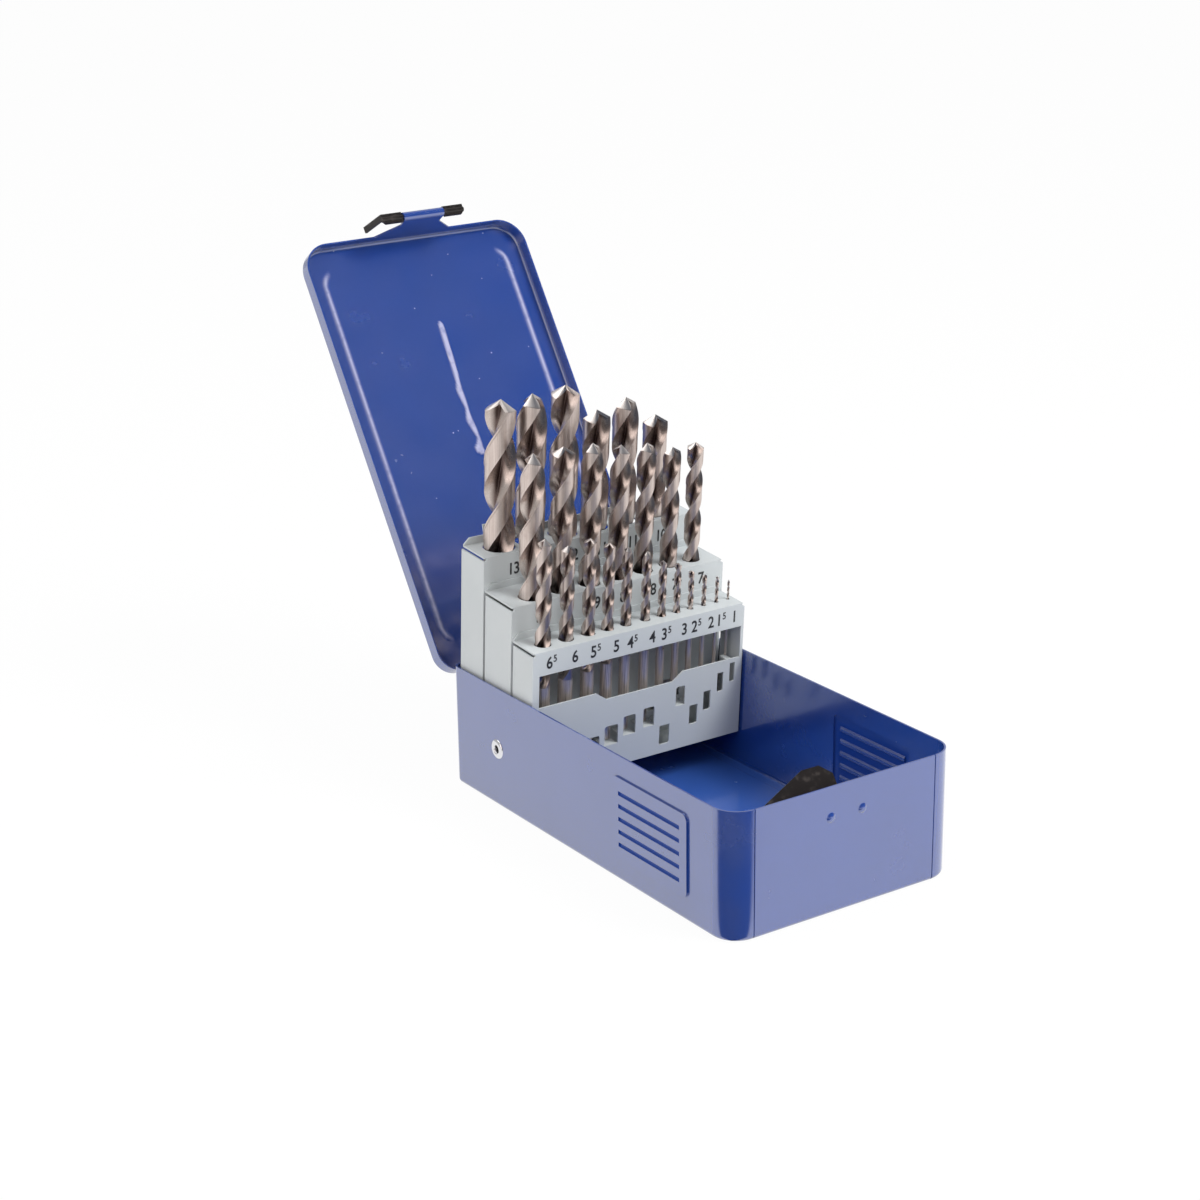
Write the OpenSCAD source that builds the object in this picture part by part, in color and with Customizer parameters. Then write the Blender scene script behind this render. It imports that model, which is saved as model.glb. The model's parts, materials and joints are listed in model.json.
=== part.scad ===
// Folding sheet-metal drill bit case. A deep tray carries three joined bit racks on
// two pivot eyelets, and the hinged lid swings the racks upright as it opens.
// Origin: middle of the tray's underside. +Z is up, -Y is the latch end, +Y the hinge end.
// The model stands as opened: racks nearly upright, lid leaning back.

/* [Tray] */
// Width of the tray over its side walls
tray_w = 108; // [107:0.5:112]
// Length of the tray from front wall to rear wall
tray_l = 190; // [189:1:220]
// Height of the tray to its rim
tray_h = 52; // [48:1:54]
// Thickness of all the sheet metal
sheet = 0.7; // [0.6:0.05:0.8]
// Radius of the two upright front corners
corner_r = 11; // [8:0.5:14]
// Radius of the two upright rear corners
rear_corner_r = 3.5; // [3:0.1:3.6]
// Outer radius of the bend between the floor and the walls
floor_bend_r = 2; // [1.5:0.1:3]
// Width of the strip that each wall folds in under the tray
floor_fold = 6; // [4:0.5:7]
// Gap of the seam between the front panel and the wrapped side walls
seam_gap = 0.4; // [0.1:0.05:0.6]

/* [Grip panels] */
// Distance from the front wall to the near end of each raised grip panel
grip_start = 25.4; // [20:0.2:40]
// Length of each grip panel
grip_l = 48.2; // [40:0.2:60]
// Height of the grip panel's lower edge above the ground
grip_low = 9.5; // [8:0.5:12]
// Height of the grip panel
grip_h = 34; // [30:1:36]
// How far the grip panel stands out of the wall
grip_raise = 0.8; // [0.4:0.1:1]
// Corner radius of the grip panel
grip_corner_r = 3; // [1:0.5:5]
// Number of pressed grooves in a grip panel
groove_count = 5; // [3:1:6]
// Distance between the grooves
groove_pitch = 5.3; // [4.5:0.1:5.5]
// Radius of the groove's round section
groove_r = 0.9; // [0.6:0.1:1]
// Depth of the grooves
groove_depth = 0.65; // [0.3:0.05:0.7]
// Plain margin at both ends of a groove
groove_margin = 4.5; // [4:0.5:8]

/* [Racks] */
// Depth from the front rack's face to the middle rack's face
middle_row_step = 16; // [15.5:0.25:17]
// Depth from the middle rack's face to the rear rack's face
rear_row_step = 21; // [20:0.25:22]
// Depth of the rear rack
rear_rack_d = 17; // [16:0.25:18]
// Distance from the pivots forward to the front rack's face
pivot_ahead = 22.5; // [22:0.25:23]
// Height of the front rack's top above the pivots
front_top = 50; // [48:1:54]
// Height of the middle rack's top above the pivots
middle_top = 64; // [62:1:68]
// Height of the rear rack's top above the pivots
rear_top = 78; // [76:1:82]
// Depth of the racks' underside below the pivots
rack_drop = 9; // [8:0.25:9.5]
// Gap between the racks and each side wall
rack_side_gap = 1; // [0.8:0.1:1.5]
// Gap between the folded racks and the tray floor
rack_floor_gap = 2.3; // [2.3:0.1:4]
// Gap between the rear rack and the tray's rear wall
rack_rear_gap = 1.3; // [1:0.1:3]
// Forward lean of the opened racks
rack_lean = 4; // [0:0.5:6]
// Height of the lip at the back of each rack's top
lip_h = 2.8; // [2:0.2:3.5]
// Height of the lip at its bevelled ends
lip_end_h = 0.4; // [0.2:0.1:1]
// Radius of the relief notch at a rack's upper corners
relief_r = 0.9; // [0.8:0.1:1.2]
// Length of the bevel at both ends of a lip
lip_bevel = 2.6; // [2:0.2:3]
// Gap between neighbouring end flaps
flap_gap = 1.5; // [1:0.25:2.5]
// Distance from the pivots back to the end of the lowest rear fold
rear_foot_y = 28; // [26:0.5:29]
// Width of the small lug on the rear rack's lip
lug_w = 4.5; // [3:0.5:6]
// Height of the small lug
lug_h = 4.5; // [3:0.5:6]
// How much narrower the small lug is at its foot, on each side
lug_taper = 0.8; // [0:0.1:1.2]
// Distance from the middle of the rack to the small lug
lug_x = 40.5; // [36:0.5:44]

/* [Rack windows] */
// Distance from the rack's top down to the window
window_down = 10.2; // [9:0.2:12]
// Height of the window at its two ends
window_h = 14; // [12:0.5:15]
// Height of the window in its deeper middle
window_mid_h = 17.6; // [16:0.5:19]
// Margin from the window to the left end of the rack
window_left_margin = 3.2; // [1.2:0.1:5]
// Margin from the window to the right end of the rack
window_right_margin = 1.4; // [1.2:0.1:5]
// Left end of the deeper middle
window_mid_left = -16.2; // [-22:0.2:-14]
// Right end of the deeper middle
window_mid_right = 16.8; // [14:0.2:22]
// Width of the sloping steps of the window
window_step_w = 5; // [2:0.5:6]

/* [Bits] */
// Clearance of each bit in its hole, on the radius
bit_clear = 0.2; // [0.1:0.05:0.3]
// Depth from the front rack's face to its bits' axes
front_axis_d = 6.8; // [6:0.2:7.5]
// Depth from the middle rack's face to its bits' axes
middle_axis_d = 6.8; // [6.4:0.2:8]
// Depth from the rear rack's face to its bits' axes
rear_axis_d = 8.2; // [8:0.1:8.6]
// Angle of the bits' points
point_angle = 118; // [110:1:135]
// Helix angle of the flutes
helix_angle = 30; // [24:1:34]
// Share of the diameter that stays as the web between the flutes
web_share = 0.3; // [0.2:0.05:0.5]
// Share of the diameter that the fluted part measures
flute_share = 0.97; // [0.9:0.01:0.99]
// Width of the tongue under a bit beyond the bit's own width
tongue_extra = 1.6; // [1.4:0.2:3]
// How far the tongues stand to the left of their bits' axes
tongue_shift = 1.2; // [0:0.1:1.5]
// Height of the hole that each tongue is bent out of
tongue_hole_h = 8.6; // [7:0.2:10]
// Radius of the corners at the far end of that hole
tongue_hole_r = 1; // [0.3:0.1:1.2]

/* [Pivot eyelets] */
// Radius of the eyelet's shank, on which the racks turn
eyelet_r = 3; // [2.5:0.25:3.5]
// Radius of the hole through the eyelet
eyelet_bore_r = 1.6; // [1:0.1:2]
// Radius of the eyelet's outer head
eyelet_head_r = 4.1; // [3.6:0.1:5]
// Radius of the eyelet's inner collars
eyelet_collar_r = 4.2; // [4:0.1:5]
// Thickness of the eyelet's heads
eyelet_head_t = 0.8; // [0.5:0.1:1]
// Running clearance of the racks on the eyelets, on the radius
pivot_clear = 0.06; // [0.02:0.01:0.1]
// Clearance between the rack's flap and the eyelet's inner head
eyelet_side_clear = 0.1; // [0.05:0.05:0.2]

/* [Lid] */
// Angle that the lid opens
lid_open = 124; // [110:1:126]
// Gap between the closed lid and the rear rack
lid_gap = 0.6; // [0.5:0.1:2]
// How far the lid's edge reaches down over the tray's rim
lid_overlap = 0.9; // [0.6:0.1:1.5]
// Least depth of the lid from its top to its lower edge
lid_least_depth = 6; // [5:0.5:8]
// Gap between the lid's edge and the tray's walls
lid_side_gap = 0.5; // [0.4:0.1:0.8]
// Radius of the bend between the lid's top and its edge
lid_bend_r = 2; // [1.5:0.1:3]
// Radius of the lid's two corners at the hinge
lid_rear_corner_r = 9; // [8:0.5:12]
// Width of the lid's fold-in, on which its top plate rests
lid_fold = 5; // [4:0.5:7]

/* [Hinge] */
// Radius of the hinge pin
pin_r = 1.2; // [1:0.1:1.4]
// Outer radius of the hinge knuckles
knuckle_r = 2.4; // [2.2:0.1:2.8]
// Running clearance of the pin in the lid's knuckles, on the radius
pin_clear = 0.06; // [0.02:0.01:0.1]
// Distance from the rear wall to the hinge pin
hinge_back = 3.2; // [3:0.1:3.6]
// Length of the hinge pin
pin_l = 72; // [60:1:80]
// Number of knuckles along the pin
knuckle_count = 5; // [3:2:7]
// Gap between neighbouring knuckles
knuckle_gap = 0.3; // [0.2:0.05:0.5]

/* [Latch] */
// Width of the latch tab where it leaves the lid's edge
tab_w = 38; // [34:1:44]
// Length of the curl that holds the latch lever
curl_w = 20; // [18:0.5:24]
// Drop of the curl's axis below the lid's edge
curl_drop = 13.2; // [12:0.1:17.5]
// Share of the tab's run at which its sides become parallel
tab_neck_share = 0.66; // [0.5:0.02:0.9]
// How much narrower than the curl the tab's neck is, on each side
tab_neck_inset = 0.2; // [0.1:0.05:0.5]
// Outer radius of the curl
curl_r = 2; // [1.95:0.05:2.2]
// Distance from the front wall to the curl's axis
curl_ahead = 3.1; // [3:0.1:3.6]
// Radius of the lever's rod
rod_r = 1.15; // [0.9:0.05:1.15]
// Running clearance of the rod in the curl, on the radius
rod_clear = 0.05; // [0.02:0.01:0.1]
// Overall length of the lever without its bent arm
lever_l = 41; // [38:1:48]
// Depth of the lever's finger wings
wing_d = 4.6; // [4:0.2:5]
// Thickness of the finger wings
wing_t = 1.1; // [0.8:0.1:1.4]
// Size of the corner cut off each wing
wing_cut = 1.5; // [1:0.1:2]
// Gap between the wings and the curl's ends
wing_gap = 0.3; // [0.2:0.05:0.6]
// Length of the bent arm at the left end of the lever
arm_l = 12.5; // [8:0.5:13]
// Width of the bent arm
arm_w = 2.8; // [2:0.2:3.4]
// Angle of the bent arm
arm_angle = 76; // [60:1:82]
// Distance between the two pips of the front wall
pip_spacing = 15; // [12:0.5:18]
// Depth of the pips below the rim
pip_down = 12.5; // [11:0.5:14]
// Radius of a pip where it leaves the wall
pip_r = 2; // [1.5:0.1:2.5]
// Height of a pip
pip_h = 0.9; // [0.4:0.1:1]

/* [Lid spring] */
// Depth of the spring's foot below the rim
spring_foot_down = 12.5; // [11:0.5:14]
// Depth of the spring's bend below the rim
spring_bend_down = 8.5; // [8:0.5:10]
// Lean of the spring's leaf from the front wall
spring_lean = 34; // [32:1:38]
// Thickness of the spring leaf
spring_t = 0.5; // [0.4:0.05:0.6]
// Length of the leaf from its bend to its highest edge
spring_reach = 15.6; // [12:0.2:15.8]
// Length of the leaf at its left end
spring_left_reach = 7; // [4:0.5:9]
// Length of the leaf at its right end
spring_right_reach = 11.4; // [8:0.5:13]
// Left end of the leaf
spring_left = -35; // [-38:0.5:-30]
// Left end of the leaf's highest edge
spring_peak_left = -14; // [-18:0.5:-11]
// Right end of the leaf's highest edge
spring_peak_right = -6; // [-8:0.5:-5]
// Right end of the leaf
spring_right = -1; // [-4:0.5:0]

/* [Hidden] */
$fn = 48;
// Overlap of neighbouring parts of one sheet
eps = 0.01;

// Racks, in the frame of the pivots: y is back from the pivots, z is up
front_y = -pivot_ahead;
middle_y = front_y + middle_row_step;
rear_y = middle_y + rear_row_step;
rack_end_y = rear_y + rear_rack_d;
rack_half = tray_w / 2 - sheet - rack_side_gap;
pivot_y = tray_l / 2 - sheet - rack_rear_gap - rack_end_y;
pivot_z = sheet + rack_floor_gap + pivot_ahead;

// Lid, as closed over the tray
lid_edge_z = tray_h - lid_overlap;
lid_outer_z = max(pivot_z + rack_end_y + lid_gap + sheet, lid_edge_z + lid_least_depth);
lid_depth = lid_outer_z - lid_edge_z;
lid_half = tray_w / 2 + lid_side_gap + sheet;
lid_front_y = -tray_l / 2 - lid_side_gap - sheet;
lid_corner_r = corner_r + lid_side_gap + sheet;
hinge_y = tray_l / 2 + hinge_back;
hinge_z = lid_edge_z - knuckle_r;
lid_rear_y = hinge_y + sheet;

// Hinge
knuckle_l = (pin_l - (knuckle_count - 1) * knuckle_gap) / knuckle_count;

// Latch, on the closed lid
curl_y = -tray_l / 2 - curl_ahead;
curl_z = lid_edge_z - curl_drop;

// One row of bits: [face y, depth, top, depth of the bits' axes]
FRONT = [front_y, middle_row_step, front_top, front_axis_d];
MIDDLE = [middle_y, rear_row_step, middle_top, middle_axis_d];
REAR = [rear_y, rear_rack_d, rear_top, rear_axis_d];

// Each bit: [diameter, overall length, flute length, x as a share of the rack's half width,
// height of its seat above the pivots, 1 or -1 for its tongue's hole above or below the seat]
floor_seat = sheet - rack_drop;
FRONT_BITS = [
    [6.5, 101, 63, -0.8279, -6, 1],
    [6, 93, 57, -0.6157, -3, 1],
    [5.5, 93, 57, -0.413, -2, 1],
    [5, 86, 52, -0.2333, 1.2, 1],
    [4.5, 80, 47, -0.0612, 3.6, 1],
    [4, 75, 43, 0.1224, 4.8, 1],
    [3.5, 70, 39, 0.2792, 4.2, -1],
    [3, 61, 33, 0.4245, 10.6, 1],
    [2.5, 57, 30, 0.5583, 9.8, -1],
    [2, 49, 24, 0.6883, 14.6, -1],
    [1.5, 40, 18, 0.8145, 21.4, -1],
    [1, 34, 12, 0.9293, 24.6, -1]
];
MIDDLE_BITS = [
    [10, 133, 87, -0.7457, floor_seat, 1],
    [9.5, 125, 81, -0.4704, 0, 1],
    [9, 125, 81, -0.2046, -1, 1],
    [8.5, 117, 75, 0.0612, 4, 1],
    [8, 117, 75, 0.3059, 2.5, 1],
    [7.5, 109, 69, 0.5507, 6.5, 1],
    [7, 109, 69, 0.7763, 6.5, 1]
];
REAR_BITS = [
    [13, 149, 100, -0.7648, floor_seat, 1],
    [12.5, 149, 100, -0.4818, floor_seat, 1],
    [12, 150, 101, -0.1759, floor_seat, 1],
    [11.5, 137, 92, 0.1224, floor_seat, 1],
    [11, 140, 94, 0.3977, floor_seat, 1],
    [10.5, 130, 87, 0.6883, floor_seat, 1]
];
BITS = concat(
    [for (bit = REAR_BITS) [bit, REAR]],
    [for (bit = MIDDLE_BITS) [bit, MIDDLE]],
    [for (bit = FRONT_BITS) [bit, FRONT]]
);
hole_sides = 24;
bit_sides = 12;
bit_slices_per_turn = 8;
// Length of the fluted part that is sunk in the shank
bit_root = 0.5;

function bit_name(d) = str("bit_", floor(d), "_", round(10 * (d - floor(d))));
BIT_NODES = [for (entry = BITS) bit_name(entry[0][0])];

paint = "royalblue";
white_sheet = "gainsboro";
bright = "silver";
tool_steel = "tan";
spring_steel = "dimgray";

// ---- shared shapes ----

// Section of a wall that stands on a folded-in strip: x is outward, y is up
module wall_section(rise, fold, bend)
{
    translate([-sheet, bend]) square([sheet, rise - bend]);
    translate([-fold, 0]) square([fold - bend, sheet]);
    intersection()
    {
        translate([-bend, 0]) square(bend);
        translate([-bend, bend]) difference()
        {
            circle(bend);
            circle(bend - sheet);
        }
    }
}

// The section run straight along Y, with its outer face at x
module run_along_y(x, y_from, y_to, rise, fold, bend)
{
    translate([x, y_to, 0]) rotate([90, 0, 0])
        linear_extrude(y_to - y_from) wall_section(rise, fold, bend);
}

// The section run straight along X, with its outer face at y, looking out along -Y
module run_along_x(y, half, rise, fold, bend)
{
    translate([-half, y, 0]) rotate([0, 0, -90]) rotate([90, 0, 0]) mirror([0, 0, 1])
        linear_extrude(2 * half) wall_section(rise, fold, bend);
}

// The section turned round a quarter corner, from -Y to +X
module run_round_corner(x, y, radius, rise, fold, bend)
{
    translate([x - radius, y + radius, 0]) rotate([0, 0, -90])
        rotate_extrude(angle = 90) translate([radius, 0]) wall_section(rise, fold, bend);
}

module rounded_square(size, radius)
{
    translate([radius, 0]) square([size[0] - 2 * radius, size[1]]);
    translate([0, radius]) square([size[0], size[1] - 2 * radius]);
    for (x = [radius, size[0] - radius])
        for (y = [radius, size[1] - radius])
            translate([x, y]) circle(radius);
}

// Flat plate with round corners: front pair and rear pair
module plate_outline(half, y_front, y_rear, front_r, rear_r)
{
    translate([-half, y_front + front_r]) square([2 * half, y_rear - y_front - front_r - rear_r]);
    translate([front_r - half, y_front]) square([2 * (half - front_r), front_r + eps]);
    for (side = [-1, 1])
        translate([side * (half - front_r), y_front + front_r]) circle(front_r);
    if (rear_r > 0)
    {
        translate([rear_r - half, y_rear - rear_r - eps]) square([2 * (half - rear_r), rear_r + eps]);
        for (side = [-1, 1])
            translate([side * (half - rear_r), y_rear - rear_r]) circle(rear_r);
    }
}

// ---- tray ----

module tray_floor()
{
    color(paint)
    {
        linear_extrude(sheet)
            plate_outline(
                tray_w / 2 - floor_fold, floor_fold - tray_l / 2, tray_l / 2,
                max(corner_r - floor_fold, 1), 0
            );
        difference()
        {
            run_along_x(
                -tray_l / 2, tray_w / 2 - corner_r - seam_gap, tray_h, floor_fold + eps, floor_bend_r
            );
            for (x = [-pip_spacing / 2, pip_spacing / 2])
                translate([x, -tray_l / 2, tray_h - pip_down]) rotate([-90, 0, 0])
                    cylinder(h = sheet, r1 = pip_r - sheet / 2, r2 = pip_r - sheet / 2);
        }
        for (x = [-pip_spacing / 2, pip_spacing / 2])
            translate([x, -tray_l / 2, tray_h - pip_down]) front_pip();
    }
}

// A pressed dome that fills its dimple and stands pip_h out of the front wall
module front_pip()
{
    ball_r = (pip_r * pip_r + pip_h * pip_h) / (2 * pip_h);
    rotate([90, 0, 0]) rotate_extrude() intersection()
    {
        translate([0, pip_h - ball_r]) circle(ball_r);
        square([pip_r, pip_h]);
    }
    rotate([-90, 0, 0]) cylinder(h = sheet / 2, r = pip_r);
}

// Outline of the grip panel on the wall, x along the wall
module grip_outline(inset)
{
    translate([inset, inset])
        rounded_square([grip_l - 2 * inset, grip_h - 2 * inset], grip_corner_r - inset);
}

module grip_grooves(radius, depth)
{
    first = (grip_h - (groove_count - 1) * groove_pitch) / 2;
    for (i = [0:groove_count - 1])
        translate([groove_margin, first + i * groove_pitch, depth - radius]) rotate([0, 90, 0])
            cylinder(h = grip_l - 2 * groove_margin, r = radius);
}

// Right side wall with its wrapped corners and its pressed grip panel
module tray_side()
{
    wall_x = tray_w / 2;
    difference()
    {
        union()
        {
            run_along_y(
                wall_x, corner_r - tray_l / 2, tray_l / 2 - rear_corner_r,
                tray_h, floor_fold, floor_bend_r
            );
            run_round_corner(wall_x, -tray_l / 2, corner_r, tray_h, floor_fold, floor_bend_r);
            mirror([0, 1, 0]) run_round_corner(
                wall_x, -tray_l / 2, rear_corner_r, tray_h, rear_corner_r, floor_bend_r
            );
            translate([wall_x - floor_fold, tray_l / 2 - rear_corner_r - eps, 0])
                cube([floor_fold - rear_corner_r + eps, rear_corner_r + eps, sheet]);
            grip_place() mirror([0, 0, 1]) linear_extrude(grip_raise) grip_outline(0);
        }
        grip_place() mirror([0, 0, 1]) translate([0, 0, -sheet - eps])
            linear_extrude(grip_raise + eps) grip_outline(sheet);
        grip_place() translate([0, 0, -grip_raise]) grip_grooves(groove_r, groove_depth);
        translate([wall_x, pivot_y, pivot_z]) rotate([0, -90, 0])
            translate([0, 0, -eps]) cylinder(h = sheet + 2 * eps, r = eyelet_r);
    }
    intersection()
    {
        grip_place() translate([0, 0, -grip_raise]) difference()
        {
            grip_grooves(groove_r + sheet, groove_depth + sheet);
            grip_grooves(groove_r, groove_depth);
        }
        grip_place() mirror([0, 0, 1]) translate([0, 0, -2 * sheet])
            linear_extrude(grip_raise + 2 * sheet - eps) grip_outline(sheet);
    }
}

// The wall's outer face as a drawing plane: x along +Y, y up, z into the tray
module grip_place()
{
    translate([tray_w / 2, grip_start - tray_l / 2, grip_low])
        rotate([0, 0, 90]) rotate([90, 0, 0]) mirror([0, 0, 1]) children();
}

module tray_side_right()
{
    color(paint) tray_side();
}

module tray_side_left()
{
    color(paint) mirror([1, 0, 0]) tray_side();
}

// Rear wall between the wrapped rear corners, standing on the floor
module tray_rear_wall()
{
    half = tray_w / 2 - rear_corner_r;
    color(paint) translate([-half, tray_l / 2 - sheet, sheet])
        cube([2 * half, sheet, tray_h - sheet]);
}

// ---- hinge ----

module at_knuckles(first)
{
    for (i = [first:2:knuckle_count - 1])
        translate([i * (knuckle_l + knuckle_gap) - pin_l / 2, 0, 0]) children();
}

// One rolled knuckle along +X about the pin's axis, with the strap that carries it
module knuckle(bore_r)
{
    difference()
    {
        union()
        {
            rotate([0, 90, 0]) cylinder(h = knuckle_l, r = knuckle_r);
            children();
        }
        translate([-eps, 0, 0]) rotate([0, 90, 0]) cylinder(h = knuckle_l + 2 * eps, r = bore_r);
    }
}

module tray_knuckles()
{
    color(paint) translate([0, hinge_y, hinge_z]) at_knuckles(0) knuckle(pin_r)
        translate([0, -hinge_back, -sheet - pin_r]) cube([knuckle_l, hinge_back, sheet]);
}

module hinge_pin()
{
    color(bright) translate([-pin_l / 2, hinge_y, hinge_z]) rotate([0, 90, 0])
        cylinder(h = pin_l, r = pin_r);
}

// Swings the closed lid open about the hinge pin
module lid_place()
{
    translate([0, hinge_y, hinge_z]) rotate([-lid_open, 0, 0])
        translate([0, -hinge_y, -hinge_z]) children();
}

module lid_knuckles()
{
    color(paint) lid_place() translate([0, hinge_y, hinge_z]) at_knuckles(1) knuckle(pin_r + pin_clear)
        translate([0, pin_r + pin_clear, 0]) cube([knuckle_l, knuckle_r - pin_r - pin_clear, knuckle_r]);
}

// ---- pivot eyelets ----

// Right eyelet: outer head, shank through wall and rack, spacing collar and inner head
module pivot_eyelet()
{
    wall_x = tray_w / 2;
    flap_x = rack_half;
    inner_x = flap_x - sheet - eyelet_side_clear;
    collar_l = rack_side_gap - eyelet_side_clear;
    translate([wall_x, pivot_y, pivot_z]) rotate([0, 90, 0]) difference()
    {
        union()
        {
            cylinder(h = eyelet_head_t, r = eyelet_head_r);
            translate([0, 0, inner_x - eyelet_head_t - wall_x])
                cylinder(h = wall_x - inner_x + eyelet_head_t, r = eyelet_r);
            translate([0, 0, -sheet - collar_l]) cylinder(h = collar_l, r = eyelet_collar_r);
            translate([0, 0, inner_x - eyelet_head_t - wall_x])
                cylinder(h = eyelet_head_t, r = eyelet_collar_r);
        }
        translate([0, 0, inner_x - eyelet_head_t - wall_x - eps])
            cylinder(h = wall_x - inner_x + 2 * eyelet_head_t + 2 * eps, r = eyelet_bore_r);
    }
}

module pivot_eyelet_right()
{
    color(bright) pivot_eyelet();
}

module pivot_eyelet_left()
{
    color(bright) mirror([1, 0, 0]) pivot_eyelet();
}

// ---- lid spring ----

// Black leaf inside the front wall: a foot behind the pips, then the leaning leaf
module lid_spring()
{
    foot_half = pip_spacing / 2 + pip_r;
    wall_y = sheet - tray_l / 2;
    foot_z = tray_h - spring_foot_down - pip_r;
    bend_z = tray_h - spring_bend_down;
    color(spring_steel)
    {
        translate([-foot_half, wall_y, foot_z])
            cube([2 * foot_half, spring_t, bend_z + spring_t / 2 - foot_z]);
        translate([0, wall_y + spring_t / cos(spring_lean), bend_z]) rotate([90 - spring_lean, 0, 0])
            linear_extrude(spring_t) spring_outline();
    }
}

// Leaf outline: long slope from the left, high edge, then a clipped right corner
module spring_outline()
{
    polygon([
        [spring_left, 0],
        [spring_right, 0],
        [spring_right, spring_right_reach],
        [spring_peak_right, spring_reach],
        [spring_peak_left, spring_reach],
        [spring_left, spring_left_reach]
    ]);
}

// ---- racks ----

module rack_place()
{
    translate([0, pivot_y, pivot_z]) rotate([rack_lean, 0, 0]) children();
}

// The rack's face as a drawing plane: x across, y up from the pivots, with its sheet behind it
module on_face(y)
{
    translate([0, y + sheet, 0]) rotate([90, 0, 0]) children();
}

function is_seated_on_tongue(bit) = bit[4] > floor_seat + sheet;

function bit_x(bit) = bit[3] * rack_half;

function tongue_w(bit) = bit[0] + tongue_extra;

function tongue_x(bit) = bit_x(bit) - tongue_shift - tongue_w(bit) / 2;

// Holes for the bits through the rack's top
module bit_holes(bits, row)
{
    for (bit = bits)
        translate([bit_x(bit), row[0] + row[3], row[2] - sheet - eps])
            cylinder(h = sheet + 2 * eps, r = bit[0] / 2 + bit_clear);
}

// Tongue that the bit stands on
module tongues(bits, row)
{
    for (bit = bits)
        if (is_seated_on_tongue(bit))
            translate([tongue_x(bit), row[0], bit[4] - sheet])
                cube([tongue_w(bit), row[3] + bit[0] / 2, sheet]);
}

// Holes that the tongues are bent out of, above or below them
module tongue_holes(bits, row)
{
    for (bit = bits)
        if (is_seated_on_tongue(bit))
            on_face(row[0])
                translate([tongue_x(bit), bit[5] > 0 ? bit[4] : bit[4] - sheet, -eps])
                    scale([1, bit[5], 1]) linear_extrude(sheet + 2 * eps)
                        tongue_hole_outline(tongue_w(bit));
}

// Outline of a tongue's hole, square at the tongue and rounded at its far end
module tongue_hole_outline(width)
{
    square([width, tongue_hole_h - tongue_hole_r]);
    translate([tongue_hole_r, 0]) square([width - 2 * tongue_hole_r, tongue_hole_h]);
    for (x = [tongue_hole_r, width - tongue_hole_r])
        translate([x, tongue_hole_h - tongue_hole_r]) circle(tongue_hole_r, $fn = hole_sides);
}

// One rack: face, top with its lip, two end flaps and a bottom fold
module rack(bits, row, bottom_y)
{
    y = row[0];
    depth = row[1];
    top = row[2];
    inner_half = rack_half - sheet;
    difference()
    {
        union()
        {
            translate([-rack_half, y, -rack_drop]) cube([2 * rack_half, sheet, top + rack_drop]);
            translate([-inner_half, y, top - sheet]) cube([2 * inner_half, depth, sheet]);
            translate([-inner_half, y, -rack_drop]) cube([2 * inner_half, bottom_y - y, sheet]);
        }
        bit_holes(bits, row);
        tongue_holes(bits, row);
        for (side = [-1, 1])
            translate([side * (rack_half - sheet / 2), y - eps, top - sheet]) rotate([-90, 0, 0])
                cylinder(h = sheet + 2 * eps, r = relief_r);
    }
    tongues(bits, row);
    rack_lip(y + depth, top, inner_half);
}

// Lip at the back of the top, bevelled at both ends
module rack_lip(y_back, top, half)
{
    translate([0, y_back, top - sheet]) rotate([90, 0, 0]) linear_extrude(sheet) polygon([
        [-half, 0],
        [half, 0],
        [half, sheet + lip_end_h],
        [half - lip_bevel, sheet + lip_h],
        [lip_bevel - half, sheet + lip_h],
        [-half, sheet + lip_end_h]
    ]);
}

// End flaps of a rack: outline in y and z, with a notch below the top and above the fold
module end_flaps(outline)
{
    for (x = [-rack_half, rack_half - sheet])
        translate([x, 0, 0]) rotate([90, 0, 90]) linear_extrude(sheet) polygon(outline);
}

// Square-ended flap from the face at y back to y_back
function plain_flap(y, y_back, top) = [
    [y, flap_gap - rack_drop],
    [y_back, flap_gap - rack_drop],
    [y_back, top - flap_gap],
    [y, top - flap_gap]
];

module rack_front()
{
    color(white_sheet) rack_place()
    {
        difference()
        {
            rack(FRONT_BITS, FRONT, middle_y);
            on_face(front_y) translate([0, 0, -eps]) linear_extrude(sheet + 2 * eps) window_outline();
        }
        end_flaps(plain_flap(front_y, middle_y - flap_gap, front_top));
    }
}

module window_outline()
{
    left = window_left_margin - rack_half;
    right = rack_half - window_right_margin;
    high = front_top - window_down;
    polygon([
        [left, high],
        [right, high],
        [right, high - window_h],
        [window_mid_right + window_step_w, high - window_h],
        [window_mid_right, high - window_mid_h],
        [window_mid_left, high - window_mid_h],
        [window_mid_left - window_step_w, high - window_h],
        [left, high - window_h]
    ]);
}

module rack_middle()
{
    color(white_sheet) rack_place()
    {
        rack(MIDDLE_BITS, MIDDLE, rear_y);
        difference()
        {
            end_flaps(plain_flap(middle_y, rear_y - flap_gap, middle_top));
            translate([-rack_half - eps, 0, 0]) rotate([0, 90, 0])
                cylinder(h = 2 * rack_half + 2 * eps, r = eyelet_r + pivot_clear);
        }
    }
}

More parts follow.
